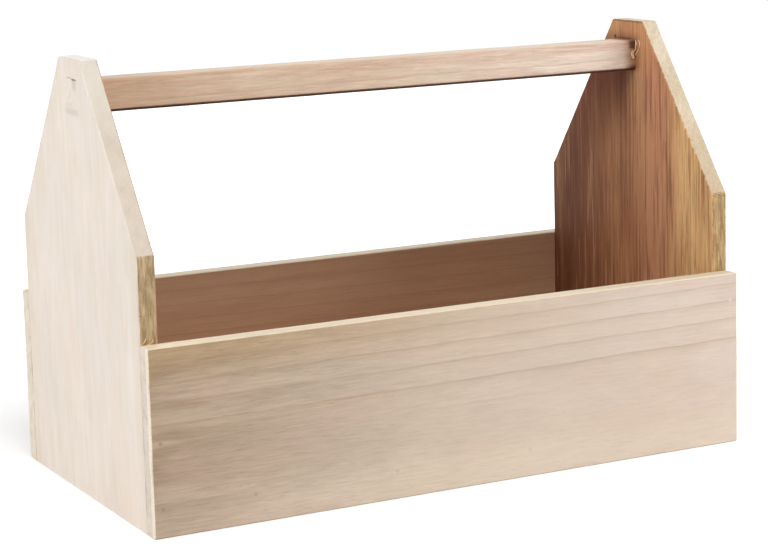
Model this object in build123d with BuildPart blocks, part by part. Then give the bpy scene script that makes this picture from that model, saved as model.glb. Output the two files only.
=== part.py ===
"""Open wooden tote: two gabled ends, a front and a back board, a raised floor and a square bar handle.

The front and back boards lie over the edges of the ends. Everything is butt-jointed and nailed with
sunk brads, and the handle runs through a mortise in each gable. Millimetres, +X right, +Y back, +Z up,
with the origin in the middle of the footprint, on the ground.
"""

from build123d import *
import os

os.makedirs("parts", exist_ok=True)

# Boards
tote_length = 350.0  # over the outer faces of the two ends
end_width = 166.0  # an end board, front to back
end_thickness = 10.0
wall_thickness = 10.0  # front and back boards
wall_height = 96.0
shoulder_height = 139.0  # where an end's upright edges turn into the slopes
gable_height = 231.0
gable_flat = 30.0  # the level top between the two slopes
floor_thickness = 10.0
floor_lift = 10.0  # the floor's underside above the ground
board_ease = 0.6  # sanded round on every edge of a board

# Handle
handle_width = 17.5  # front to back
handle_height = 17.5
handle_drop = 11.0  # the handle's top below the top of the gable
handle_ease = 1.5  # round on its four long edges
mortise_gap = 0.4  # play at the sides and top of the handle in each gable

# Brads, their holes and the filler over them
brad_length = 25.0
brad_diameter = 1.2
brad_head_diameter = 2.0
brad_head_thickness = 0.8
brad_point = 1.8  # length of the tapered tip
brad_sink = 1.5  # the head's top below the face of the board
brad_play = 0.05  # the hole's wall clear of the brad
corner_brad_count = 3  # in each upright joint
corner_margin = 15.0  # outermost brad of an upright joint from the wall's edge
long_row_count = 4  # from the front, and from the back, into the floor
long_row_margin = 45.0  # outermost of them from the inner face of an end
short_row_count = 3  # from each end into the floor
short_row_margin = 30.0  # outermost of them from the edge of the end

# Worked out from the sizes above
tote_depth = end_width + 2 * wall_thickness
inner_length = tote_length - 2 * end_thickness
floor_middle = floor_lift + floor_thickness / 2
handle_bottom = gable_height - handle_drop - handle_height
handle_middle = handle_bottom + handle_height / 2
mortise_width = handle_width + 2 * mortise_gap
mortise_height = handle_height + mortise_gap
mortise_middle = handle_bottom + mortise_height / 2
brad_radius = brad_diameter / 2
brad_head_radius = brad_head_diameter / 2

# The outer faces, each with its own X along the face and its own Y straight up
front_face = Plane(origin=(0, -tote_depth / 2, 0), x_dir=(1, 0, 0), z_dir=(0, -1, 0))
back_face = Plane(origin=(0, tote_depth / 2, 0), x_dir=(-1, 0, 0), z_dir=(0, 1, 0))
left_face = Plane(origin=(-tote_length / 2, 0, 0), x_dir=(0, -1, 0), z_dir=(-1, 0, 0))
right_face = Plane(origin=(tote_length / 2, 0, 0), x_dir=(0, 1, 0), z_dir=(1, 0, 0))


def spread(count, first, last):
    """Places at even steps from first to last, both included."""
    step = (last - first) / (count - 1)
    return [first + step * index for index in range(count)]


def finish(part, name):
    """Labels a finished piece and writes its file."""
    part.label = name
    export_step(part, f"parts/{name}.step")


# Each group of brads: the face it is driven from and its places there
corner_line = (tote_length - end_thickness) / 2
corner_rise = spread(corner_brad_count, corner_margin, wall_height - corner_margin)
long_reach = inner_length / 2 - long_row_margin
long_row = [(across, floor_middle) for across in spread(long_row_count, -long_reach, long_reach)]
short_reach = end_width / 2 - short_row_margin
short_row = [(across, floor_middle) for across in spread(short_row_count, -short_reach, short_reach)]
brad_groups = {
    "front_left_brads": (front_face, [(-corner_line, rise) for rise in corner_rise]),
    "front_right_brads": (front_face, [(corner_line, rise) for rise in corner_rise]),
    "back_left_brads": (back_face, [(corner_line, rise) for rise in corner_rise]),
    "back_right_brads": (back_face, [(-corner_line, rise) for rise in corner_rise]),
    "front_floor_brads": (front_face, long_row),
    "back_floor_brads": (back_face, long_row),
    "left_floor_brads": (left_face, short_row),
    "right_floor_brads": (right_face, short_row),
}


def brad_outline(play, top):
    """Half section of a brad below a face at height 0, with play all round and its head reaching top."""
    seat = -brad_sink - brad_head_thickness
    taper_start = -brad_sink - brad_length + brad_point
    Polyline(
        (0, top),
        (brad_head_radius + play, top),
        (brad_head_radius + play, seat),
        (brad_radius + play, seat),
        (brad_radius + play, taper_start),
        (0, -brad_sink - brad_length - play),
        close=True,
    )


# One brad, driven down -Z from a face at height 0
with BuildPart() as brad:
    with BuildSketch(Plane.XZ):
        with BuildLine():
            brad_outline(play=0, top=-brad_sink)
        make_face()
    revolve(axis=Axis.Z)

# The hole that a sunk brad leaves, open to the face
with BuildPart() as brad_hole:
    with BuildSketch(Plane.XZ):
        with BuildLine():
            brad_outline(play=brad_play, top=0)
        make_face()
    revolve(axis=Axis.Z)

# The dab of filler that stops the hole, on top of the brad's head
with BuildPart() as filler_dab:
    with BuildSketch(Plane.XY.offset(-brad_sink)):
        Circle(brad_head_radius)
    extrude(amount=brad_sink)


def drill(*names):
    """Cuts the holes of the named brads out of the board being built."""
    for name in names:
        face, places = brad_groups[name]
        with Locations(face):
            with Locations(*places):
                add(brad_hole.part, mode=Mode.SUBTRACT)


# An end board before it is drilled, from the plane X = 0 towards +X
with BuildPart() as end_blank:
    with BuildSketch(Plane.YZ):
        with BuildLine():
            Polyline(
                (0, 0),
                (end_width / 2, 0),
                (end_width / 2, shoulder_height),
                (gable_flat / 2, gable_height),
                (0, gable_height),
            )
            mirror(about=Plane.YZ)
        make_face()
    extrude(amount=end_thickness)
    fillet(end_blank.edges(), radius=board_ease)
    with BuildSketch(Plane.YZ):
        with Locations((0, mortise_middle)):
            RectangleRounded(mortise_width, mortise_height, handle_ease)
    extrude(amount=end_thickness, mode=Mode.SUBTRACT)

# A front or back board before it is drilled, from the plane Y = 0 towards +Y
with BuildPart() as wall_blank:
    with BuildSketch(Plane.XZ):
        with Locations((0, wall_height / 2)):
            Rectangle(tote_length, wall_height)
    extrude(amount=-wall_thickness)
    fillet(wall_blank.edges(), radius=board_ease)

with BuildPart() as left_end:
    with Locations((-tote_length / 2, 0, 0)):
        add(end_blank.part)
    drill("front_left_brads", "back_left_brads", "left_floor_brads")
finish(left_end.part, "left_end")

with BuildPart() as right_end:
    with Locations((tote_length / 2 - end_thickness, 0, 0)):
        add(end_blank.part)
    drill("front_right_brads", "back_right_brads", "right_floor_brads")
finish(right_end.part, "right_end")

with BuildPart() as front_board:
    with Locations((0, -tote_depth / 2, 0)):
        add(wall_blank.part)
    drill("front_left_brads", "front_right_brads", "front_floor_brads")
finish(front_board.part, "front_board")

with BuildPart() as back_board:
    with Locations((0, end_width / 2, 0)):
        add(wall_blank.part)
    drill("back_left_brads", "back_right_brads", "back_floor_brads")
finish(back_board.part, "back_board")

with BuildPart() as floor_board:
    with BuildSketch(Plane.XY.offset(floor_lift)):
        Rectangle(inner_length, end_width)
    extrude(amount=floor_thickness)
    fillet(floor_board.edges(), radius=board_ease)
    drill("front_floor_brads", "back_floor_brads", "left_floor_brads", "right_floor_brads")
finish(floor_board.part, "floor_board")

with BuildPart() as handle_bar:
    with BuildSketch(Plane.YZ.offset(-tote_length / 2)):
        with Locations((0, handle_middle)):
            RectangleRounded(handle_width, handle_height, handle_ease)
    extrude(amount=tote_length)
finish(handle_bar.part, "handle_bar")

# The brads, one node for each joint
for group, (face, places) in brad_groups.items():
    with BuildPart() as brads:
        with Locations(face):
            with Locations(*places):
                add(brad.part)
    finish(brads.part, group)

# The filler, one node for each outer face, over all the brads driven from it
filler_faces = {
    "front_filler": front_face,
    "back_filler": back_face,
    "left_filler": left_face,
    "right_filler": right_face,
}
for filler_name, filled_face in filler_faces.items():
    with BuildPart() as filler:
        for face, places in brad_groups.values():
            if face is filled_face:
                with Locations(face):
                    with Locations(*places):
                        add(filler_dab.part)
    finish(filler.part, filler_name)
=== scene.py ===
"""Looks of the wooden tote: its six boards with worn edges, chips and drilled holes, the filler and dried
glue round the handle, their wood finishes, a pale floor, soft studio light and the camera.

Metres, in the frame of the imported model: +X right, +Y back, +Z up, the ground at Z = 0.
"""

import math

import bmesh
import bpy
from mathutils import Matrix, Vector


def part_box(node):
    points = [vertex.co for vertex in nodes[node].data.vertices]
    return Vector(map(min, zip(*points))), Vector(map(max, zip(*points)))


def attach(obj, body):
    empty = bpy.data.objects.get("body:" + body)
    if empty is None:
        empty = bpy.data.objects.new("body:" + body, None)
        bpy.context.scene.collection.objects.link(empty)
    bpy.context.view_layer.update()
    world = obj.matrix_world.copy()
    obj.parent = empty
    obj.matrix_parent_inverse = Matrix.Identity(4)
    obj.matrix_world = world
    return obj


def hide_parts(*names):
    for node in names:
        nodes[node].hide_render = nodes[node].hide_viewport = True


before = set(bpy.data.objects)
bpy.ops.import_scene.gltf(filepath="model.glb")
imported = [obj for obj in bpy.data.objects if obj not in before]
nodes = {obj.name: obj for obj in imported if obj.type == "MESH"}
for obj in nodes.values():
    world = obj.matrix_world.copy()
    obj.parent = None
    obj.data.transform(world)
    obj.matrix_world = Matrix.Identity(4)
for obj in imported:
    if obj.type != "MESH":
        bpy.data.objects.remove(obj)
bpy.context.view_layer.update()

mm = 0.001

# ---------------------------------------------------------------- sizes
left_low, left_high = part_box("left_end")
right_low, right_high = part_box("right_end")
front_low, front_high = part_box("front_board")
back_low, back_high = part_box("back_board")
floor_low, floor_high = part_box("floor_board")
handle_low, handle_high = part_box("handle_bar")

end_half_width = left_high.y
shoulder = 139 * mm  # height where an end's upright edges turn into the slopes
gable_half_flat = 15 * mm
gable_top = left_high.z
mortise_gap = 0.4 * mm
mortise_half_width = handle_high.y + mortise_gap
mortise_bottom = handle_low.z
mortise_top = handle_high.z + mortise_gap

board_ease = 0.7 * mm
handle_ease = 1.6 * mm
corner_angle = math.radians(15)  # a sharper turn than this is an edge to ease
smooth_angle = math.radians(35)  # a gentler turn than this is shaded smooth
full_wear = 0.125  # how far a point's normal leans off the flat faces where wear is full

# The brads' holes: depths and places as in the part's own source, and the wide part the filler's width
brad_radius = 0.65 * mm
brad_head_radius = 1.0 * mm
brad_seat = 2.3 * mm  # underside of the head below the face
brad_reach = 26.55 * mm  # tip of the hole below the face
brad_point = 1.8 * mm  # length of the tapered tip
corner_line = 170 * mm
corner_rise = (15 * mm, 48 * mm, 81 * mm)
long_row = (-120 * mm, -40 * mm, 40 * mm, 120 * mm)
short_row = (-53 * mm, 0.0, 53 * mm)
floor_middle = 15 * mm


# ---------------------------------------------------------------- shaping by hand
def select_nothing():
    """Deselects every object."""
    bpy.ops.object.select_all(action="DESELECT")


def take(piece):
    """Selects just this object and makes it the active one."""
    select_nothing()
    piece.select_set(True)
    bpy.context.view_layer.objects.active = piece


def settle(piece):
    """Puts the object at the origin, unturned and unscaled, with its place in its mesh."""
    take(piece)
    bpy.ops.object.transform_apply(location=True, rotation=True, scale=True)


def start_edit(piece):
    """Puts just this object in edit mode."""
    select_nothing()
    bpy.context.view_layer.objects.active = piece
    bpy.ops.object.mode_set(mode="EDIT")


def end_edit():
    """Leaves edit mode."""
    bpy.ops.object.mode_set(mode="OBJECT")


def pick(piece, kind, chosen):
    """In edit mode, selects just the edges (kind EDGE) or faces (kind FACE) that pass the test chosen."""
    bpy.ops.mesh.select_mode(type=kind)
    bpy.ops.mesh.select_all(action="DESELECT")
    cage = bmesh.from_edit_mesh(piece.data)
    for part in cage.edges if kind == "EDGE" else cage.faces:
        part.select_set(chosen(part))
    bmesh.update_edit_mesh(piece.data)


def new_block(name, low, high):
    """A rectangular blank between two corners."""
    select_nothing()
    bpy.ops.mesh.primitive_cube_add(size=1.0, location=(low + high) / 2, scale=high - low)
    piece = bpy.context.object
    piece.name = name
    settle(piece)
    return piece


def cut_across(piece, axis, places):
    """Cuts the surface across an axis at each place, so that it has points there."""
    start_edit(piece)
    direction = [0.0, 0.0, 0.0]
    direction["XYZ".index(axis)] = 1.0
    for place in places:
        bpy.ops.mesh.select_all(action="SELECT")
        bpy.ops.mesh.bisect(plane_co=[place * part for part in direction], plane_no=direction)
    end_edit()


def even_steps(first, last, count):
    """The places between first and last that split the stretch into count parts, ends left out."""
    return [first + (last - first) * index / count for index in range(1, count)]


def ease_edges(piece, width, segments, chosen):
    """Rounds the edges that pass the test chosen(edge)."""
    start_edit(piece)
    pick(piece, "EDGE", chosen)
    bpy.ops.mesh.bevel(offset=width, segments=segments, affect="EDGES", clamp_overlap=True)
    bpy.ops.mesh.select_mode(type="VERT")
    end_edit()


def is_corner_edge(edge):
    """An edge where two faces meet at more than corner_angle."""
    return len(edge.link_faces) == 2 and edge.calc_face_angle() > corner_angle


def near_mortise(place):
    """Whether a place lies at a mortise, to a millimetre."""
    return abs(place.y) < mortise_half_width + mm and mortise_bottom - mm < place.z < mortise_top + mm


def nowhere(place):
    """Spares no place."""
    return False


def mark_wear(piece, flat_faces, spared):
    """Keeps how rounded the surface is at each point, for the wear and for the finish.

    flat_faces are the directions that the flat faces of the board look in. No wear where spared(place).
    """
    group = piece.vertex_groups.new(name="edges")
    layer = piece.data.attributes.new("wear", "FLOAT", "POINT")
    for point, mark in zip(piece.data.vertices, layer.data):
        nearest = max(point.normal.dot(direction) for direction in flat_faces)
        mark.value = 0.0 if spared(point.co) else min(1.0, (1.0 - nearest) / full_wear)
        group.add([point.index], mark.value, "REPLACE")


def sand(piece, texture, depth, group=""):
    """Takes up to depth off the surface, unevenly."""
    bpy.context.view_layer.objects.active = piece
    wear = piece.modifiers.new("sanding", "DISPLACE")
    wear.texture = texture
    wear.texture_coords = "LOCAL"
    wear.mid_level = 1.0
    wear.strength = depth
    wear.vertex_group = group
    bpy.ops.object.modifier_apply(modifier=wear.name)


def clouds(name, size, contrast):
    """A cloudy texture for sanding, with features of about this size."""
    texture = bpy.data.textures.new(name, "CLOUDS")
    texture.noise_scale = size
    texture.noise_depth = 1
    texture.contrast = contrast
    return texture


hand_waves = clouds("hand_waves", 30 * mm, 1.2)
worn_edges = clouds("worn_edges", 7 * mm, 1.8)

axis_faces = [Vector(sign) for sign in ((1, 0, 0), (-1, 0, 0), (0, 1, 0), (0, -1, 0), (0, 0, 1), (0, 0, -1))]
slope_rise = Vector((0.0, gable_top - shoulder, end_half_width - gable_half_flat)).normalized()
slope_faces = [slope_rise, Vector((0.0, -slope_rise.y, slope_rise.z))]


def rub_down(piece, flat_faces, spared=nowhere, face_depth=0.12 * mm, edge_depth=0.5 * mm):
    """Sands the whole piece a little and its rounded edges more."""
    mark_wear(piece, flat_faces, spared)
    sand(piece, hand_waves, face_depth)
    sand(piece, worn_edges, edge_depth, "edges")


def trim_away(piece, cutter):
    """Cuts the shape of cutter out of the piece."""
    bpy.context.view_layer.objects.active = piece
    cut = piece.modifiers.new("cut", "BOOLEAN")
    cut.operation = "DIFFERENCE"
    cut.solver = "MANIFOLD"
    cut.object = cutter
    bpy.ops.object.modifier_apply(modifier=cut.name)


def join_pieces(name, pieces):
    """Joins pieces into one object with a new name."""
    select_nothing()
    for piece in pieces:
        piece.select_set(True)
    bpy.context.view_layer.objects.active = pieces[0]
    bpy.ops.object.join()
    whole = bpy.context.object
    whole.name = name
    settle(whole)
    return whole


# ---------------------------------------------------------------- brad holes
def brad_drill():
    """One drill the shape of a sunk brad's hole, pointing down -Z from a face at height 0."""
    select_nothing()
    top = 1.0 * mm
    tip_share = 0.1  # the tip's width, of the shank's
    bpy.ops.mesh.primitive_cylinder_add(
        vertices=20, radius=brad_head_radius, depth=top + brad_seat, location=(0, 0, (top - brad_seat) / 2))
    drill = bpy.context.object
    start_edit(drill)
    pick(drill, "FACE", lambda face: face.normal.z < -0.9)
    bpy.ops.mesh.inset(thickness=brad_head_radius - brad_radius)
    shank = brad_reach - brad_seat - brad_point
    bpy.ops.mesh.extrude_region_move(TRANSFORM_OT_translate={"value": (0, 0, -shank)})
    bpy.ops.mesh.extrude_region_move(TRANSFORM_OT_translate={"value": (0, 0, -brad_point)})
    bpy.ops.transform.resize(value=(tip_share, tip_share, 1.0))
    end_edit()
    settle(drill)
    return drill


def copy_to(piece, place, facing):
    """A copy with its own mesh, put at a place with its +Z turned to the direction facing."""
    twin = piece.copy()
    twin.data = piece.data.copy()
    bpy.context.scene.collection.objects.link(twin)
    turned = Vector(facing).to_track_quat("Z", "Y").to_matrix().to_4x4()
    twin.matrix_world = Matrix.Translation(place) @ turned
    settle(twin)
    return twin


def all_brad_holes():
    """One drill at every brad, from the front, the back, the left and the right, joined."""
    drill = brad_drill()
    holes = []
    for outward, wall in ((-1, front_low.y), (1, back_high.y)):
        places = [(side * corner_line, rise) for side in (-1, 1) for rise in corner_rise]
        places += [(across, floor_middle) for across in long_row]
        holes += [copy_to(drill, (x, wall, z), (0, outward, 0)) for x, z in places]
    for outward, wall in ((-1, left_low.x), (1, right_high.x)):
        holes += [copy_to(drill, (wall, y, floor_middle), (outward, 0, 0)) for y in short_row]
    bpy.data.objects.remove(drill)
    return join_pieces("brad_holes", holes)


# ---------------------------------------------------------------- boards
def cut_slopes(piece):
    """Cuts both slopes of the gable."""
    start_edit(piece)
    for side in (1, -1):
        bpy.ops.mesh.select_all(action="SELECT")
        bpy.ops.mesh.bisect(
            plane_co=(0.0, side * end_half_width, shoulder),
            plane_no=(0.0, side * slope_rise.y, slope_rise.z),
            clear_outer=True, use_fill=True)
    end_edit()


def cut_end_steps(piece):
    """Gives an end board points level with each other across it and up its slopes."""
    slope_steps = 20
    slope_y = even_steps(end_half_width, gable_half_flat, slope_steps) + [gable_half_flat]
    crown_y = even_steps(-gable_half_flat, gable_half_flat, 8)
    cut_across(piece, "Y", slope_y + [-y for y in slope_y] + crown_y)
    cut_across(piece, "Y", (-mortise_half_width, mortise_half_width))
    cut_across(piece, "Z", even_steps(0.0, shoulder, 30) + [shoulder])
    cut_across(piece, "Z", even_steps(shoulder, gable_top, slope_steps))
    cut_across(piece, "Z", (mortise_bottom, mortise_top))


def open_mortise(piece):
    """Takes the faces at the mortise off both sides and joins the two openings by the mortise's walls."""
    def in_mortise(face):
        middle = face.calc_center_median()
        return abs(middle.y) < mortise_half_width and mortise_bottom < middle.z < mortise_top

    start_edit(piece)
    pick(piece, "FACE", in_mortise)
    bpy.ops.mesh.delete(type="FACE")
    pick(piece, "EDGE", lambda edge: edge.is_boundary)
    bpy.ops.mesh.bridge_edge_loops()
    bpy.ops.mesh.select_all(action="SELECT")
    bpy.ops.mesh.normals_make_consistent(inside=False)
    end_edit()


def end_board(name, low, high):
    """An upright board with a gabled top, its edges eased and a mortise cut through near the top."""
    def at_outline(edge):
        return is_corner_edge(edge) and not near_mortise((edge.verts[0].co + edge.verts[1].co) / 2)

    piece = new_block(name, low, high)
    cut_slopes(piece)
    cut_end_steps(piece)
    open_mortise(piece)
    cut_across(piece, "X", even_steps(low.x, high.x, 3))
    ease_edges(piece, board_ease, 3, at_outline)
    rub_down(piece, axis_faces + slope_faces, near_mortise)
    return piece


def cut_in_stretches(piece, low, high, stretches):
    """Cuts a block from low to high into this many equal stretches along X, Y and Z."""
    for index, count in enumerate(stretches):
        cut_across(piece, "XYZ"[index], even_steps(low[index], high[index], count))


def plain_board(name, low, high, stretches):
    """A rectangular board with its edges eased."""
    piece = new_block(name, low, high)
    cut_in_stretches(piece, low, high, stretches)
    ease_edges(piece, board_ease, 3, is_corner_edge)
    rub_down(piece, axis_faces)
    return piece


def bar(name, low, high):
    """The handle: a square bar with its long edges well rounded."""
    def runs_along(edge):
        run = edge.verts[0].co - edge.verts[1].co
        return is_corner_edge(edge) and abs(run.x) > abs(run.y) + abs(run.z)

    piece = new_block(name, low, high)
    cut_in_stretches(piece, low, high, (70, 4, 4))
    ease_edges(piece, handle_ease, 4, runs_along)
    rub_down(piece, axis_faces, face_depth=0.15 * mm, edge_depth=0.45 * mm)
    return piece


wall_stretches = (70, 3, 24)
left_end = end_board("left_end_board", left_low, left_high)
right_end = end_board("right_end_board", right_low, right_high)
front_board = plain_board("front_wall_board", front_low, front_high, wall_stretches)
back_board = plain_board("back_wall_board", back_low, back_high, wall_stretches)
floor_board = plain_board("raised_floor_board", floor_low, floor_high, (60, 32, 3))
handle = bar("handle_bar_worn", handle_low, handle_high)

holes = all_brad_holes()
for board in (left_end, right_end, front_board, back_board, floor_board):
    trim_away(board, holes)
bpy.data.objects.remove(holes)


# ---------------------------------------------------------------- chips, filler and dried glue
def chip(place, size, turn):
    """A rough lens, the shape of one chip to break out, turned about X."""
    roughness = 0.9  # how much sanding may take off it, of its smallest half size
    select_nothing()
    bpy.ops.mesh.primitive_ico_sphere_add(
        subdivisions=3, radius=1.0, location=place, scale=size, rotation=(turn, 0, 0))
    lens = bpy.context.object
    settle(lens)
    sand(lens, worn_edges, min(size) * roughness)
    return lens


def break_out(board, *lenses):
    """Breaks chips out of a board; each lens is a place, a half size and a turn about X."""
    for place, size, turn in lenses:
        lens = chip([part * mm for part in place], [part * mm for part in size], turn)
        trim_away(board, lens)
        bpy.data.objects.remove(lens)


def mortise_filler(name, board, low, high):
    """Glue and filler in the gap between a board's mortise and the handle, just short of both faces."""
    margin = 0.35 * mm  # past the mortise's walls, for the board's shape to trim off
    short = 0.13 * mm
    plug = new_block(name, Vector((low.x + short, -mortise_half_width - margin, mortise_bottom - margin)),
                     Vector((high.x - short, mortise_half_width + margin, mortise_top + margin)))
    trim_away(plug, handle)
    trim_away(plug, board)
    mark_wear(plug, axis_faces, near_mortise)
    return plug


left_filler = mortise_filler("left_mortise_filler", left_end, left_low, left_high)
right_filler = mortise_filler("right_mortise_filler", right_end, right_low, right_high)

# The torn top edge of the left mortise, through the board, the filler and the handle's end
for chipped in (left_end, left_filler, handle):
    break_out(
        chipped,
        ((-175.0, 2.2, 220.7), (0.7, 2.2, 0.5), 0.1),
        ((-175.0, -1.8, 220.8), (1.2, 1.5, 0.55), 0.2),
        ((-175.0, -6.4, 220.2), (1.8, 3.6, 0.75), 0.08),
        ((-175.0, -5.4, 218.4), (0.5, 1.5, 1.8), 0.2),
    )
# A nick and dents along the left end's seams
break_out(
    left_end,
    ((-174.4, -83.0, 110.4), (1.8, 0.8, 0.55), 0.0),
    ((-175.0, -83.0, 10.2), (0.8, 0.7, 0.8), 0.0),
)
break_out(
    back_board,
    ((-175.0, 83.6, 44.5), (0.8, 0.9, 1.0), 0.0),
    ((-175.0, 83.8, 6.0), (1.0, 1.0, 3.2), 0.0),
)
# Tear-out above and beside the right mortise, and the right end's front shoulder
break_out(
    right_end,
    ((165.0, 12.4, 221.4), (1.4, 1.3, 0.9), 0.0),
    ((165.0, 6.0, 221.2), (0.4, 3.5, 0.4), 0.1),
    ((165.0, -9.6, 218.6), (1.5, 1.2, 2.2), 0.0),
    ((168.0, -83.0, 139.0), (1.6, 0.9, 0.8), 0.0),
    ((173.0, -83.0, 138.2), (1.2, 0.8, 1.1), 0.0),
)


def curl(name, points, thickness):
    """A thin strand through points given in mm, thick and thin by turns."""
    strand = bpy.data.curves.new(name, "CURVE")
    strand.dimensions = "3D"
    strand.bevel_depth = thickness
    strand.bevel_resolution = 2
    strand.resolution_u = 6
    strand.use_fill_caps = True
    spline = strand.splines.new("NURBS")
    spline.points.add(len(points) - 1)
    for knot, (x, y, z) in zip(spline.points, points):
        knot.co = (x * mm, y * mm, z * mm, 1.0)
        knot.radius = 0.7 + 0.3 * math.sin(2.3 * y + z)
    spline.order_u = 3
    spline.use_endpoint_u = True
    piece = bpy.data.objects.new(name, strand)
    bpy.context.scene.collection.objects.link(piece)
    take(piece)
    bpy.ops.object.convert(target="MESH")
    start_edit(piece)
    bpy.ops.mesh.select_all(action="SELECT")
    bpy.ops.mesh.remove_doubles(threshold=0.005 * mm)
    bpy.ops.mesh.normals_make_consistent(inside=False)
    end_edit()
    return piece


# Dried glue with torn fibres in it, on the handle's front face and the right end beside it
glue_curls = join_pieces("handle_glue", [
    curl("bead", ((165.0, -9.1, 220.0), (165.0, -9.2, 218.2), (164.8, -9.1, 216.0), (164.4, -9.3, 214.3),
                  (163.0, -9.1, 213.2), (162.7, -9.2, 211.5), (163.7, -9.1, 209.7)), 0.42 * mm),
    curl("strand", ((163.0, -9.2, 214.2), (162.0, -9.1, 213.3), (161.9, -9.2, 212.0), (162.3, -9.1, 210.4),
                    (163.3, -9.2, 209.2)), 0.36 * mm),
    curl("loop", ((164.8, -12.2, 220.2), (164.6, -13.5, 219.1), (164.6, -14.0, 217.4), (164.7, -12.9, 215.7),
                  (164.6, -11.4, 213.8), (164.7, -9.4, 211.4)), 0.4 * mm),
])
# Torn fibres on the right end's front shoulder, and where the front board meets the left end
splinters = join_pieces("edge_splinters", [
    curl("shoulder_1", ((165.4, -82.6, 139.3), (166.6, -83.2, 139.0), (168.2, -83.4, 138.4),
                        (169.0, -83.2, 137.6)), 0.3 * mm),
    curl("shoulder_2", ((168.4, -82.6, 139.5), (170.0, -83.2, 139.3), (171.2, -83.5, 138.6)), 0.26 * mm),
    curl("shoulder_3", ((171.6, -82.7, 139.3), (172.6, -83.3, 139.4), (173.6, -83.4, 138.5)), 0.3 * mm),
    curl("joint_1", ((-174.6, -83.4, 96.0), (-173.4, -83.8, 96.7), (-172.2, -83.6, 97.9),
                     (-171.6, -83.2, 99.2)), 0.3 * mm),
    curl("joint_2", ((-171.8, -83.8, 95.9), (-170.2, -84.4, 96.3), (-168.6, -83.9, 96.9),
                     (-167.8, -83.3, 98.0)), 0.28 * mm),
])
added = (left_filler, right_filler, glue_curls, splinters)
for piece in added:
    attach(piece, "root")

boards = (
    (left_end, "left_end", "left_end_wood"),
    (right_end, "right_end", "right_end_wood"),
    (front_board, "front_board", "front_wood"),
    (back_board, "back_board", "back_wood"),
    (floor_board, "floor_board", "floor_wood"),
    (handle, "handle_bar", "handle_wood"),
)
for piece, node, slot in boards:
    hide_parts(node)
    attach(piece, "root")
    take(piece)
    bpy.ops.object.shade_smooth_by_angle(angle=smooth_angle)


# ---------------------------------------------------------------- making a finish
def screen(red, green, blue):
    """A colour as a screen shows it, 0 to 255 in each channel, as the shader's own linear colour."""
    channels = []
    for level in (red, green, blue):
        share = level / 255.0
        channels.append(share / 12.92 if share <= 0.04045 else ((share + 0.055) / 1.055) ** 2.4)
    return (*channels, 1.0)


# Nearly all of a noise lies between these two
noise_low = 0.3
noise_high = 0.7


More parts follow.
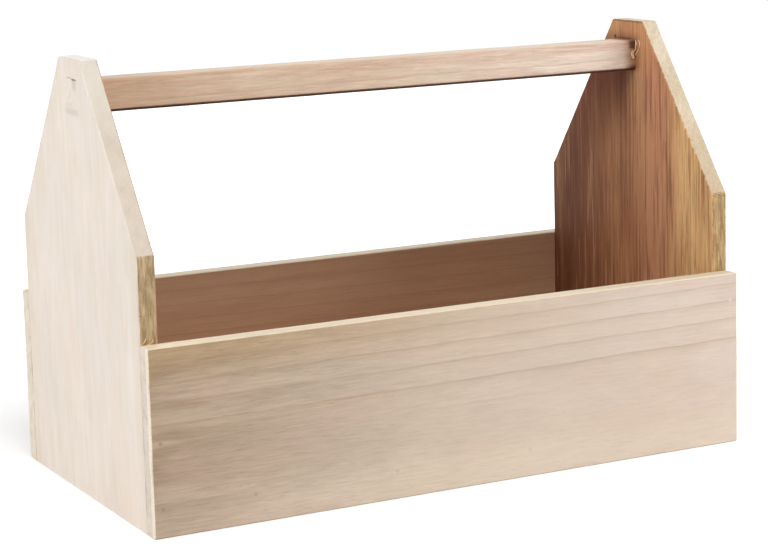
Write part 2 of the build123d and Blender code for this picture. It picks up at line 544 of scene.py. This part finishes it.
class Finish:
    """A material in the making. Each call adds its nodes and gives back what comes out of them."""

    def __init__(self, name, order="XYZ"):
        """order names the three axes as: along the grain, then the two across it."""
        self.material = bpy.data.materials.new(name)
        self.material.use_nodes = True
        self.tree = self.material.node_tree
        self.tree.nodes.clear()
        self.output = self.node("OutputMaterial")
        parts = self.split(self.node("TexCoord").outputs["Object"])
        self.x, self.y, self.z = parts
        self.place = self.vector_of(*(parts["XYZ".index(axis)] for axis in order))

    def feed(self, socket, value):
        """Links a value that comes out of a node, or sets a plain one."""
        if isinstance(value, bpy.types.NodeSocket):
            self.tree.links.new(value, socket)
        else:
            socket.default_value = value

    def node(self, kind, *values):
        """A new node of this kind, with the values in its first sockets."""
        step = self.tree.nodes.new("ShaderNode" + kind)
        for socket, value in zip(step.inputs, values):
            self.feed(socket, value)
        return step

    def split(self, vector):
        """The three numbers of a vector."""
        return self.node("SeparateXYZ", vector).outputs

    def vector_of(self, a, b, c):
        """Three numbers as one vector."""
        return self.node("CombineXYZ", a, b, c).outputs[0]

    def calc(self, operation, a, b=0.0):
        """One sum on numbers."""
        step = self.node("Math", a, b)
        step.operation = operation
        return step.outputs[0]

    def times(self, *values):
        """The product of all the values."""
        product = values[0]
        for value in values[1:]:
            product = self.calc("MULTIPLY", product, value)
        return product

    def plus(self, *values):
        """The sum of all the values."""
        total = values[0]
        for value in values[1:]:
            total = self.calc("ADD", total, value)
        return total

    def calc_vector(self, operation, a, b=(0.0, 0.0, 0.0)):
        """One sum on vectors."""
        step = self.node("VectorMath", a, b)
        step.operation = operation
        return step.outputs["Value" if operation == "LENGTH" else "Vector"]

    def noise(self, size, long=1.0, detail=2.0, roughness=0.55, shift=0.0, place=None):
        """Cloudy noise of about this feature size across the grain, and long times that along it."""
        place = self.place if place is None else place
        place = self.calc_vector("MULTIPLY", place, (1.0 / (size * long), 1.0 / size, 1.0 / size))
        place = self.calc_vector("ADD", place, (shift, 1.7 * shift, -2.3 * shift))
        step = self.node("TexNoise", place)
        step.inputs["Scale"].default_value = 1.0
        step.inputs["Detail"].default_value = detail
        step.inputs["Roughness"].default_value = roughness
        return step.outputs["Fac"]

    def between(self, value, low, high, to_low=0.0, to_high=1.0, soft=True):
        """Takes low..high to to_low..to_high and holds it beyond both."""
        step = self.node("MapRange", value, low, high, to_low, to_high)
        step.interpolation_type = "SMOOTHSTEP" if soft else "LINEAR"
        return step.outputs[0]

    def swing(self, noise, low, high):
        """Takes a noise from low to high in a straight line."""
        return self.between(noise, noise_low, noise_high, low, high, soft=False)

    def blend(self, share, below, above):
        """Lays the colour above over the one below."""
        step = self.node("Mix")
        step.data_type = "RGBA"
        step.clamp_factor = True
        self.feed(step.inputs["Factor"], share)
        colours = [socket for socket in step.inputs if socket.type == "RGBA"]
        self.feed(colours[0], below)
        self.feed(colours[1], above)
        return [socket for socket in step.outputs if socket.type == "RGBA"][0]

    def tint(self, colour, where, share, over):
        """Lays up to this share of a screen colour over the colour."""
        return self.blend(self.times(where, share), colour, screen(*over))

    def shade(self, colour, amount):
        """The colour made lighter or darker by a factor."""
        step = self.node("VectorMath", colour)
        step.operation = "SCALE"
        self.feed(step.inputs["Scale"], amount)
        return step.outputs["Vector"]

    def stretch(self, value, low, high, soft):
        """1 from low to high, fading to 0 over the distance soft beyond each."""
        return self.times(self.between(value, low - soft, low), self.between(value, high + soft, high))

    def patch(self, across, across_span, up, up_span):
        """1 in a patch; each span is where it starts, where it ends and how far it fades beyond both."""
        return self.times(self.stretch(across, *across_span), self.stretch(up, *up_span))

    def worn(self):
        """How rounded the surface is, as kept in the mesh by mark_wear."""
        step = self.node("Attribute")
        step.attribute_name = "wear"
        return step.outputs["Fac"]

    def bumps(self, height, depth):
        """The relief of a height from 0 to 1 that stands for this depth."""
        step = self.node("Bump")
        step.inputs["Strength"].default_value = 1.0
        step.inputs["Distance"].default_value = depth
        self.feed(step.inputs["Height"], height)
        return step.outputs["Normal"]

    def done(self, **values):
        """Closes the material with the shader; each keyword is one of its sockets, with _ for a space."""
        shader = self.node("BsdfPrincipled")
        for name, value in values.items():
            self.feed(shader.inputs[name.replace("_", " ")], value)
        self.feed(self.output.inputs["Surface"], shader.outputs[0])
        return self.material


class Timber(Finish):
    """Bare sanded softwood, with year rings round a heart that lies outside the board."""

    def rings(self, heart, width, offset=0.0, wave=1.5 * mm, lean=0.0):
        """Late wood: 0 in the pale early wood, 1 on the dark line that ends each year."""
        sway = self.times(self.plus(self.noise(60 * mm, 3.0, shift=3.1), -0.5), 2.0 * wave)
        shiver = self.times(self.plus(self.noise(9 * mm, 2.5, shift=5.7), -0.5), 0.5 * wave)
        along, first, second = self.split(self.place)
        first = self.plus(first, -heart[0], sway)
        second = self.plus(second, -heart[1], self.times(along, -lean), shiver)
        radius = self.calc_vector("LENGTH", self.vector_of(0.0, first, second))
        years = self.plus(self.times(radius, 1.0 / width), offset)
        phase = self.calc("FRACT", years)
        soft_rise = self.between(phase, 0.45, 0.97)
        sharp_line = self.between(phase, 0.84, 0.97)
        fall = self.between(phase, 0.975, 1.0, 1.0, 0.0)
        strength = self.node("TexWhiteNoise")
        strength.noise_dimensions = "1D"
        self.feed(strength.inputs["W"], self.calc("FLOOR", years))
        strength = self.between(strength.outputs["Value"], 0.0, 1.0, 0.4, 1.0, soft=False)
        late = self.plus(self.times(soft_rise, 0.4), self.times(sharp_line, 0.6))
        return self.times(late, fall, strength)

    def fibre_fields(self, shift=0.0):
        """Fine fibres, longer threads, short pores and broad patches, all drawn out along the grain."""
        self.fibres = self.noise(0.7 * mm, 16.0, detail=3.0, roughness=0.8, shift=shift)
        self.threads = self.noise(1.6 * mm, 14.0, detail=3.0, roughness=0.7, shift=shift + 2.2)
        self.pores = self.between(self.noise(0.55 * mm, 14.0, detail=1.0, shift=shift + 4.4), 0.64, 0.76)
        self.patches = self.noise(30 * mm, 2.5, detail=3.0, shift=shift + 6.6)

    def close(self, colour, late, fibre_contrast=0.05, depth=0.12 * mm, rough_where=0.0):
        """Adds fibres, pores, patches and wear to the colour, the worn edges lighter as partly a painted
        highlight, and the relief and sheen that go with them.

        rough_where is 1 where the saw left the surface torn.
        """
        contrast = self.plus(fibre_contrast, self.times(rough_where, 0.10))
        fibres = self.times(self.swing(self.fibres, -1.0, 1.0), contrast)
        threads = self.times(self.swing(self.threads, -1.0, 1.0), contrast)
        patches = self.swing(self.patches, -0.03, 0.03)
        pores = self.times(self.pores, fibre_contrast, -1.5)
        colour = self.shade(colour, self.plus(fibres, threads, patches, pores, 1.0))
        # Worn edges lighter: partly sanded wear, partly a painted highlight.
        wear_and_highlight = self.times(self.worn(), 0.25)
        colour = self.blend(wear_and_highlight, colour, self.shade(colour, 1.12))
        rough = self.swing(self.fibres, 0.55, 0.7)
        height = self.plus(self.times(self.fibres, 0.6), self.times(late, 0.3), self.times(self.pores, -0.5))
        height = self.times(height, self.plus(1.0, self.times(rough_where, 2.0)))
        return self.done(Base_Color=colour, Roughness=rough, Normal=self.bumps(height, depth),
                         Specular_IOR_Level=0.2)


# ---------------------------------------------------------------- the boards' finishes
def end_grain(f, colour, late, where, light, dark):
    """End grain at a sawn end: the rings cut across, finely pored. where is 1 on the sawn face."""
    speckle = f.noise(0.5 * mm, 1.0, detail=2.0, shift=8.1)
    drift = f.noise(9 * mm, 1.0, detail=2.0, shift=9.3)
    grain_colour = f.blend(f.between(drift, 0.35, 0.65), light, dark)
    grain_colour = f.tint(grain_colour, late, 0.45, (198, 176, 148))
    grain_colour = f.shade(grain_colour, f.swing(speckle, 0.97, 1.03))
    return f.blend(where, colour, grain_colour)


def ragged(f, place, share=0.7 * mm):
    """A place that wanders a little, so that the edge of a skin or stain isn't ruled."""
    jitter = f.plus(f.noise(2.0 * mm, 1.0, detail=3.0, roughness=0.7, shift=6.3), -0.5)
    return f.plus(place, f.times(jitter, 2.0 * share))


def near_ends(f, low, high):
    """1 on both sawn ends of a board that runs from low to high in X."""
    at_low = f.between(f.x, low + 0.7 * mm, low + 0.3 * mm)
    at_high = f.between(f.x, high - 0.7 * mm, high - 0.3 * mm)
    return f.calc("MAXIMUM", at_low, at_high)


def at_front_edge(f):
    """1 on an end board's front edge."""
    return f.between(f.y, -end_half_width + 1.0 * mm, -end_half_width + 0.3 * mm)


def torn_edge(f, light, dark):
    """Rough sawn long grain on an end board's upright edge."""
    coarse = f.noise(1.5 * mm, 7.0, detail=3.0, roughness=0.7, shift=3.9)
    return f.blend(f.between(coarse, 0.36, 0.64), light, dark)


def grey_marks(f, colour):
    """The left mortise's marks on the outer face: painted shade in the torn crevice over it and a thin mark
    above that, a smudge in it, grey at its foot.
    """
    y = ragged(f, f.y, 2.0 * mm)
    z = ragged(f, f.z, 0.5 * mm)
    foot = f.patch(y, (-8 * mm, 4 * mm, 6 * mm),
                   z, (mortise_bottom + 0.7 * mm, mortise_bottom + 1.3 * mm, 2.4 * mm))
    smudge = f.patch(y, (-8 * mm, -5.5 * mm, 3 * mm),
                     z, (mortise_top - 3.9 * mm, mortise_top - 1.4 * mm, 3 * mm))
    torn = f.patch(y, (-10 * mm, -3.5 * mm, 1 * mm),
                   z, (mortise_top - 0.4 * mm, mortise_top, 0.5 * mm))
    thin = f.patch(y, (-1.5 * mm, 2.5 * mm, 1 * mm),
                   z, (mortise_top + 0.4 * mm, mortise_top + 0.7 * mm, 0.5 * mm))
    colour = f.tint(colour, foot, 0.65, (204, 194, 182))
    colour = f.tint(colour, smudge, 0.6, (202, 186, 168))
    # Painted shade in the torn crevice along the mortise's top.
    colour = f.tint(colour, torn, 0.7, (146, 130, 112))
    return f.tint(colour, thin, 0.7, (182, 164, 144))


def left_end_finish():
    """Bleached and sanded outside, brown inside, cream where it was sawn."""
    f = Timber("bleached_end_wood", "ZYX")
    f.fibre_fields(0.4)
    late = f.rings(heart=(260 * mm, -330 * mm), width=6.5 * mm, wave=3 * mm)
    bands = f.noise(8 * mm, 5.0, detail=4.0, roughness=0.6, shift=1.3)
    blotches = f.noise(24 * mm, 1.6, detail=3.0, shift=2.9)
    warm = f.noise(34 * mm, 2.0, detail=2.0, shift=7.7)
    outside = f.blend(f.between(bands, 0.38, 0.68), screen(231, 220, 211), screen(226, 213, 199))
    outside = f.tint(outside, f.between(blotches, 0.46, 0.64), 0.5, (225, 217, 204))
    outside = f.tint(outside, f.between(warm, 0.50, 0.66), 0.5, (229, 213, 199))
    last = end_half_width - 1 * mm
    near_edge = f.calc("MAXIMUM", f.between(f.y, 12 * mm - last, -last), f.between(f.y, last - 16 * mm, last))
    outside = f.tint(outside, near_edge, 0.45, (218, 203, 182))
    outside = f.tint(outside, late, 0.12, (206, 188, 164))
    outside = grey_marks(f, outside)
    inside = f.blend(f.between(bands, 0.35, 0.65), screen(196, 160, 124), screen(176, 132, 98))
    inside = f.tint(inside, late, 0.5, (140, 98, 70))
    sawn = f.blend(f.between(bands, 0.40, 0.66), screen(223, 209, 194), screen(217, 202, 184))
    sawn = f.tint(sawn, late, 0.22, (198, 172, 138))
    high_up = f.between(f.z, gable_top - 46 * mm, gable_top - 7 * mm)
    sawn = f.blend(high_up, sawn, screen(229, 220, 206))
    # A painted highlight: the flat top lighter, as light falls on it from above.
    painted_top_highlight = f.between(f.z, gable_top - 0.9 * mm, gable_top - 0.5 * mm)
    sawn = f.blend(painted_top_highlight, sawn, screen(244, 239, 230))
    front_edge = at_front_edge(f)
    body = f.blend(front_edge, sawn, torn_edge(f, screen(200, 173, 136), screen(160, 134, 96)))
    x = ragged(f, f.x, 0.3 * mm)
    colour = f.blend(f.between(x, left_low.x + 0.5 * mm, left_low.x + 1.0 * mm), outside, body)
    colour = f.blend(f.between(x, left_high.x - 0.8 * mm, left_high.x - 0.35 * mm), colour, inside)
    return f.close(colour, late, 0.022, rough_where=front_edge)


def heartwood_and_shade(f):
    """The right end's colour from its back edge to its front: dark, olive brown, red, yellow, lighter high
    up; partly the heartwood's own colour, partly painted shade that deepens towards the back.
    """
    base = f.blend(f.between(f.y, 66 * mm, 8 * mm), screen(94, 54, 36), screen(170, 120, 82))
    base = f.blend(f.between(f.y, 0 * mm, -22 * mm), base, screen(206, 146, 110))
    base = f.blend(f.between(f.y, -32 * mm, -60 * mm), base, screen(246, 200, 140))
    return f.tint(base, f.between(f.z, 196 * mm, 226 * mm), 0.8, (208, 152, 106))


def streaky_inside(f, bands):
    """The right end's inner face: streaks and fine lines over its broad colour."""
    streaks = f.noise(2.6 * mm, 24.0, detail=4.0, roughness=0.65, shift=3.3)
    lines = f.noise(1.3 * mm, 34.0, detail=3.0, roughness=0.6, shift=5.1)
    inside = f.tint(heartwood_and_shade(f), f.between(bands, 0.42, 0.62), 0.35, (150, 92, 68))
    inside = f.tint(inside, f.between(bands, 0.54, 0.38), 0.22, (196, 150, 106))
    inside = f.tint(inside, f.between(streaks, 0.51, 0.63), 0.5, (104, 62, 42))
    inside = f.tint(inside, f.between(streaks, 0.47, 0.34), 0.4, (214, 164, 126))
    line_share = f.between(f.y, -20 * mm, -70 * mm, 0.15, 0.6)
    inside = f.tint(inside, f.between(lines, 0.52, 0.62), line_share, (140, 90, 54))
    arris = f.between(ragged(f, f.z, 0.2 * mm), gable_top - 1.4 * mm, gable_top - 0.8 * mm)
    return f.tint(inside, arris, 0.6, (122, 88, 62))


def handle_shadow_and_marks(f, inside):
    """The same face with a painted shadow under the handle, darker beside the handle's front, and a dark line
    and dot over the mortise.
    """
    # The handle's cast shadow, painted: a dark patch under the handle, fading down and towards the back.
    underside = handle_low.z + 0.5 * mm
    below = f.times(f.between(f.z, underside - 53 * mm, underside),
                    f.between(f.z, underside + 7 * mm, underside),
                    f.between(ragged(f, f.y, 4 * mm), -5 * mm, 7 * mm),
                    f.between(f.y, 80 * mm, 30 * mm))
    inside = f.tint(inside, below, 0.85, (84, 28, 4))
    beside = f.times(f.between(f.y, -16 * mm, -9 * mm),
                     f.between(f.z, handle_low.z - 2.5 * mm, handle_low.z + 2.5 * mm),
                     f.between(f.z, handle_high.z + 6 * mm, handle_high.z))
    inside = f.tint(inside, beside, 0.45, (120, 72, 40))
    seam = f.patch(ragged(f, f.y), (-3 * mm, 11 * mm, 2 * mm),
                   f.z, (mortise_top, mortise_top + 0.3 * mm, 0.5 * mm))
    hole = f.patch(f.y, (12 * mm, 13 * mm, 0.8 * mm),
                   f.z, (mortise_top, mortise_top + 1.0 * mm, 0.8 * mm))
    return f.blend(f.calc("MAXIMUM", f.times(seam, 0.5), f.times(hole, 0.9)), inside, screen(58, 30, 20))


def right_end_finish():
    """Reddish brown and streaky inside, cream where it was sawn, bleached outside."""
    f = Timber("heart_end_wood", "ZYX")
    f.fibre_fields(1.9)
    late = f.rings(heart=(150 * mm, 20 * mm), width=6 * mm, wave=2 * mm)
    bands = f.noise(11 * mm, 11.0, detail=3.0, shift=0.7)
    inside = handle_shadow_and_marks(f, streaky_inside(f, bands))
    sawn = f.blend(f.between(bands, 0.40, 0.62), screen(226, 209, 184), screen(214, 196, 168))
    low_down = f.between(f.z, gable_top - 31 * mm, shoulder + 1 * mm)
    sawn = f.blend(low_down, sawn, screen(211, 190, 160))
    sawn = f.tint(sawn, late, 0.2, (186, 158, 118))
    front_edge = at_front_edge(f)
    sawn = f.blend(front_edge, sawn, torn_edge(f, screen(194, 163, 119), screen(156, 124, 80)))
    outside = f.blend(f.between(bands, 0.42, 0.66), screen(233, 220, 209), screen(227, 214, 199))
    x = ragged(f, f.x, 0.8 * mm)
    colour = f.blend(f.between(x, right_low.x + 0.5 * mm, right_low.x + 0.9 * mm), inside, sawn)
    colour = f.blend(f.between(x, right_high.x - 1.0 * mm, right_high.x - 0.5 * mm), colour, outside)
    return f.close(colour, late, 0.085, rough_where=front_edge)


def front_ground(f):
    """The front board's broad colour, darker to the left: partly the wood's own colour, partly painted shade.
    """
    left = f.between(f.x, front_low.x, -20 * mm, soft=False)
    ground = f.blend(left, screen(167, 144, 121), screen(209, 191, 172))
    return f.blend(f.between(f.x, -20 * mm, 165 * mm, soft=False), ground, screen(226, 208, 193))


def front_finish():
    """Plain board with a few year lines high up."""
    f = Timber("front_board_wood", "XYZ")
    f.fibre_fields(3.7)
    late = f.rings(heart=(-53 * mm, 20 * mm), width=8 * mm, offset=0.02, wave=2.2 * mm, lean=0.009)
    upper = f.between(f.z, 46 * mm, 58 * mm, 0.12, 1.0)
    base = front_ground(f)
    bands = f.noise(9 * mm, 12.0, detail=3.0, shift=1.1)
    pink = f.noise(26 * mm, 3.0, detail=2.0, shift=4.9)
    base = f.tint(base, f.between(bands, 0.45, 0.62), 0.3, (222, 200, 176))
    base = f.tint(base, f.between(pink, 0.45, 0.62), 0.25, (214, 184, 166))
    low = f.times(f.between(f.z, 34 * mm, 4 * mm), f.between(f.x, -150 * mm, -60 * mm, 0.25, 0.5))
    base = f.blend(low, base, screen(230, 213, 192))
    high_left = f.times(f.between(f.z, 72 * mm, 94 * mm), f.between(f.x, 100 * mm, -150 * mm))
    base = f.tint(base, high_left, 0.6, (178, 148, 106))
    colour = f.tint(base, f.times(late, upper), 0.32, (156, 124, 90))
    # A painted highlight: the top edge lighter, as light falls on it from above.
    top = f.between(f.z, front_high.z - 0.8 * mm, front_high.z - 0.4 * mm)
    colour = f.blend(top, colour, f.tint(screen(237, 220, 193), late, 0.3, (204, 178, 142)))
    sawn_end = near_ends(f, front_low.x, front_high.x)
    colour = end_grain(f, colour, late, sawn_end, screen(219, 207, 198), screen(212, 199, 188))
    pale_rim = f.between(ragged(f, f.y, 0.4 * mm), front_low.y + 3.4 * mm, front_low.y + 2.6 * mm)
    colour = f.tint(colour, f.times(sawn_end, pale_rim), 0.8, (240, 228, 202))
    seam = f.between(ragged(f, f.y, 0.15 * mm), front_high.y - 1.1 * mm, front_high.y - 0.6 * mm)
    colour = f.tint(colour, f.times(sawn_end, seam), 0.7, (186, 168, 146))
    contrast = f.between(f.x, -140 * mm, 60 * mm, 0.09, 0.04)
    return f.close(colour, late, contrast)


def back_finish():
    """Pale brown, darker heartwood on its inner face, cream where it was sawn."""
    f = Timber("back_board_wood", "XYZ")
    f.fibre_fields(5.2)
    late = f.rings(heart=(60 * mm, 10 * mm), width=8 * mm, wave=2.2 * mm, lean=-0.012)
    bands = f.noise(12 * mm, 18.0, detail=2.0, shift=2.6)
    base = f.blend(f.between(bands, 0.4, 0.66), screen(212, 190, 162), screen(200, 172, 140))
    heartwood = f.between(ragged(f, f.y, 0.5 * mm), back_low.y + 1.1 * mm, back_low.y + 0.6 * mm)
    base = f.blend(f.times(heartwood, 0.8), base, f.blend(bands, screen(172, 126, 96), screen(150, 104, 78)))
    colour = f.tint(base, late, 0.45, (150, 112, 80))
    # A painted highlight: the top edge lighter, as light falls on it from above.
    top = f.between(f.z, back_high.z - 0.8 * mm, back_high.z - 0.4 * mm)
    colour = f.blend(top, colour, f.tint(screen(236, 221, 196), late, 0.3, (206, 180, 144)))
    sawn_end = near_ends(f, back_low.x, back_high.x)
    colour = end_grain(f, colour, late, sawn_end, screen(230, 220, 206), screen(222, 209, 192))
    return f.close(colour, late, 0.05)


def floor_finish():
    """Plain tan, with clear year lines."""
    f = Timber("floor_board_wood", "XYZ")
    f.fibre_fields(7.4)
    late = f.rings(heart=(-20 * mm, 90 * mm), width=7 * mm, wave=2 * mm, lean=0.01)
    bands = f.noise(12 * mm, 18.0, detail=2.0, shift=4.6)
    base = f.blend(f.between(bands, 0.4, 0.66), screen(218, 198, 172), screen(206, 182, 152))
    colour = f.tint(base, late, 0.6, (168, 132, 96))
    return f.close(colour, late, 0.045)


def joint_shade_and_stain(f, colour):
    """Brown where the handle goes into the right end, partly a glue stain and partly painted shade; painted
    shade along its lower edge and in the joint's corners.
    """
    joint = right_low.x
    # Partly a glue stain, partly painted shade where the handle meets the right end.
    near_right = f.between(ragged(f, f.x, 1.5 * mm), joint - 10 * mm, joint - 1 * mm)
    colour = f.tint(colour, near_right, 0.85, (136, 84, 38))
    # Painted shade along the lower rounded edge, which faces down, away from the light.
    painted_underside_shade = f.between(ragged(f, f.z, 0.2 * mm), handle_low.z + 2.0 * mm, handle_low.z + 1.2 * mm)
    colour = f.tint(colour, painted_underside_shade, 0.95, (72, 44, 30))
    # Painted shade in the joint: at its lower corner and in a spot near the top.
    corner = f.times(f.between(f.x, joint - 8 * mm, joint - 1 * mm),
                     f.between(f.z, handle_low.z + 4.5 * mm, handle_low.z + 1.5 * mm))
    high_spot = f.times(f.between(f.x, joint - 6 * mm, joint - 2.5 * mm),
                        f.stretch(f.z, handle_high.z - 4 * mm, handle_high.z - 1 * mm, 1.5 * mm))
    painted_joint_shade = f.calc("MAXIMUM", corner, high_spot)
    return f.tint(colour, painted_joint_shade, 0.85, (76, 42, 24))


def handle_finish():
    """Pinkish tan, with a reddish streak along its upper part, pale at its sawn ends."""
    f = Timber("handle_wood", "XYZ")
    f.fibre_fields(9.6)
    late = f.rings(heart=(60 * mm, 250 * mm), width=5 * mm, wave=2.5 * mm, lean=0.012)
    base = f.blend(f.between(f.x, left_high.x, -60 * mm), screen(193, 163, 134), screen(216, 192, 168))
    base = f.blend(f.between(f.x, -40 * mm, 150 * mm), base, screen(234, 216, 200))
    bands = f.noise(3.5 * mm, 16.0, detail=3.0, roughness=0.6, shift=1.7)
    base = f.tint(base, f.between(bands, 0.45, 0.62), 0.4, (208, 174, 152))
    ridge = handle_high.z
    upper = f.times(f.between(f.z, ridge - 8 * mm, ridge - 4 * mm),
                    f.between(f.z, ridge - 0.2 * mm, ridge - 1.2 * mm))
    red = f.times(upper, f.between(f.noise(3 * mm, 18.0, detail=3.0, shift=6.1), 0.35, 0.55))
    colour = f.tint(base, red, 0.36, (190, 142, 116))
    colour = f.tint(colour, late, 0.3, (170, 130, 102))
    low = f.between(f.z, handle_low.z + 3 * mm, handle_low.z + 1 * mm)
    colour = f.tint(colour, low, 0.4, (204, 158, 134))
    # A painted highlight: the top lighter, as light falls on it from above.
    top = f.between(f.z, ridge - 0.8 * mm, ridge - 0.3 * mm)
    colour = f.tint(colour, top, 0.45, (236, 214, 190))
    colour = joint_shade_and_stain(f, colour)
    sawn_end = near_ends(f, handle_low.x, handle_high.x)
    colour = end_grain(f, colour, late, sawn_end, screen(231, 221, 211), screen(226, 213, 200))
    at_left = f.between(f.x, handle_low.x + 0.7 * mm, handle_low.x + 0.3 * mm)
    colour = f.blend(at_left, colour, grey_marks(f, colour))
    return f.close(colour, late, 0.1)


def filler_finish():
    """Sanded wood filler, close to the colour of the wood that it lies in."""
    f = Finish("wood_filler")
    grains = f.noise(0.4 * mm, 1.0, detail=2.0)
    base = front_ground(f)
    base = f.blend(f.between(f.y, 0.0, 1.0 * mm), base, screen(206, 181, 151))
    from_middle = f.calc("ABSOLUTE", f.x)
    base = f.blend(f.between(from_middle, 173.0 * mm, 173.4 * mm), base, screen(232, 219, 206))
    colour = f.shade(base, f.swing(grains, 0.95, 1.04))
    rough = f.between(grains, noise_low, noise_high, 0.7, 0.85)
    return f.done(Base_Color=colour, Roughness=rough, Normal=f.bumps(grains, 0.05 * mm))


def glue_finish():
    """Dried glue with torn fibres in it: amber and a little glossy."""
    f = Finish("dried_glue")
    grains = f.noise(0.9 * mm, 1.0, detail=2.0)
    colour = f.blend(f.between(grains, 0.35, 0.65), screen(250, 220, 178), screen(228, 186, 136))
    rough = f.between(grains, noise_low, noise_high, 0.35, 0.6)
    return f.done(Base_Color=colour, Roughness=rough, Normal=f.bumps(grains, 0.1 * mm))


def brad_finish():
    """Bright drawn wire with a little grey scale."""
    f = Finish("brad_steel")
    scale = f.noise(0.8 * mm, 1.0, detail=3.0)
    colour = f.blend(f.between(scale, 0.45, 0.65), screen(176, 176, 178), screen(118, 114, 110))
    rough = f.between(scale, noise_low, noise_high, 0.3, 0.55)
    return f.done(Base_Color=colour, Metallic=1.0, Roughness=rough, Normal=f.bumps(scale, 0.02 * mm))


def dress(piece, material):
    """Puts the finish in every slot of the piece."""
    if not piece.data.materials:
        piece.data.materials.append(material)
    for index in range(len(piece.data.materials)):
        piece.data.materials[index] = material


dress(left_end, left_end_finish())
dress(right_end, right_end_finish())
dress(front_board, front_finish())
dress(back_board, back_finish())
dress(floor_board, floor_finish())
dress(handle, handle_finish())
dress(left_filler, left_end.data.materials[0])
dress(right_filler, right_end.data.materials[0])
dress(glue_curls, glue_finish())
dress(splinters, glue_curls.data.materials[0])

filler_paste = filler_finish()
brad_steel = brad_finish()
for name, node in nodes.items():
    if name.endswith("_filler"):
        dress(node, filler_paste)
    elif name.endswith("_brads"):
        dress(node, brad_steel)


# ---------------------------------------------------------------- floor, world and lamps
def soft_lamp(name, place, aim, width, height, power):
    """A softbox at a place, turned to face the point aim."""
    light = bpy.data.lights.new(name, "AREA")
    light.shape = "RECTANGLE"
    light.size = width
    light.size_y = height
    light.energy = power
    lamp = bpy.data.objects.new(name, light)
    bpy.context.scene.collection.objects.link(lamp)
    lamp.location = place
    lamp.rotation_euler = (Vector(aim) - Vector(place)).to_track_quat("-Z", "Y").to_euler()


soft_lamp("left_softbox", place=(-1.9, 0.0, 0.5), aim=(0.0, 0.0, 0.12), width=1.2, height=1.0, power=17.5)
soft_lamp("key_softbox", place=(-0.35, -1.25, 1.65), aim=(0.1, 0.0, 0.1), width=0.7, height=0.6, power=15.5)
soft_lamp("right_softbox", place=(1.3, -1.1, 0.6), aim=(0.15, 0.0, 0.1), width=0.8, height=0.8, power=11.0)
soft_lamp("back_softbox", place=(0.8, 1.7, 1.1), aim=(0.0, 0.0, 0.1), width=0.9, height=0.9, power=9.0)

world_light = 0.42
floor_colour = 0.8
near_lift = 0.36  # lift of the floor round the object, where the lamps light it well
far_lift = 0.72
lift_start = 0.22  # distance from the tote's middle where the lift starts to grow
lift_end = 0.45  # and where it has reached far_lift


def seen_directly(tree):
    """1 for what the camera sees, also in a reflection or through glass, and 0 for light on its way."""
    ray = tree.nodes.new("ShaderNodeLightPath")
    seen = ray.outputs["Is Camera Ray"]
    for other in ("Is Glossy Ray", "Is Transmission Ray"):
        either = tree.nodes.new("ShaderNodeMath")
        either.operation = "MAXIMUM"
        tree.links.new(seen, either.inputs[0])
        tree.links.new(ray.outputs[other], either.inputs[1])
        seen = either.outputs[0]
    return seen


def studio_world():
    """White where the camera or a reflection sees it, plain soft light on everything else."""
    world = bpy.data.worlds.new("studio")
    world.use_nodes = True
    tree = world.node_tree
    tree.nodes.clear()
    seen = seen_directly(tree)
    level = tree.nodes.new("ShaderNodeMapRange")
    level.inputs["To Min"].default_value = world_light
    level.inputs["To Max"].default_value = 1.0
    tree.links.new(seen, level.inputs["Value"])
    glow = tree.nodes.new("ShaderNodeBackground")
    tree.links.new(level.outputs[0], glow.inputs["Strength"])
    output = tree.nodes.new("ShaderNodeOutputWorld")
    tree.links.new(glow.outputs[0], output.inputs["Surface"])
    bpy.context.scene.world = world


def paper_finish():
    """Pale matt paper, lifted to white for the camera so that only the soft shadow shows on it."""
    f = Finish("floor_paper")
    matt = f.node("BsdfDiffuse")
    matt.inputs["Color"].default_value = (floor_colour, floor_colour, floor_colour, 1.0)
    away = f.calc_vector("LENGTH", f.place)
    lift = f.node("Emission")
    amount = f.between(away, lift_start, lift_end, near_lift, far_lift)
    f.feed(lift.inputs["Strength"], f.times(seen_directly(f.tree), amount))
    both = f.node("AddShader", matt.outputs[0], lift.outputs[0])
    f.feed(f.output.inputs["Surface"], both.outputs[0])
    return f.material


studio_world()
select_nothing()
bpy.ops.mesh.primitive_plane_add(size=24.0)
ground = bpy.context.object
ground.name = "studio_floor"
ground.data.materials.append(paper_finish())

# ---------------------------------------------------------------- camera, fitted to the tote in the photo
photo_width = 768.0
focal_pixels = 2299.6
frame_drop = 50.0  # how far the frame's middle lies below the lens axis, in pixels
camera_place = (-0.5716, -1.1138, 0.3324)
camera_azimuth = 0.4769
camera_dip = 0.1637
camera_roll = 0.0260

photo_lens = bpy.data.cameras.new("photo_camera")
photo_lens.sensor_width = 36.0
photo_lens.lens = focal_pixels / photo_width * photo_lens.sensor_width
photo_lens.shift_y = -frame_drop / photo_width
photo_lens.clip_start = 0.01
photo_lens.clip_end = 60.0
camera = bpy.data.objects.new("photo_camera", photo_lens)
bpy.context.scene.collection.objects.link(camera)
camera.matrix_world = (
    Matrix.Translation(camera_place)
    @ Matrix.Rotation(-camera_azimuth, 4, "Z")
    @ Matrix.Rotation(math.pi / 2 - camera_dip, 4, "X")
    @ Matrix.Rotation(-camera_roll, 4, "Z"))
bpy.context.scene.camera = camera
bpy.context.scene.view_settings.view_transform = "Standard"
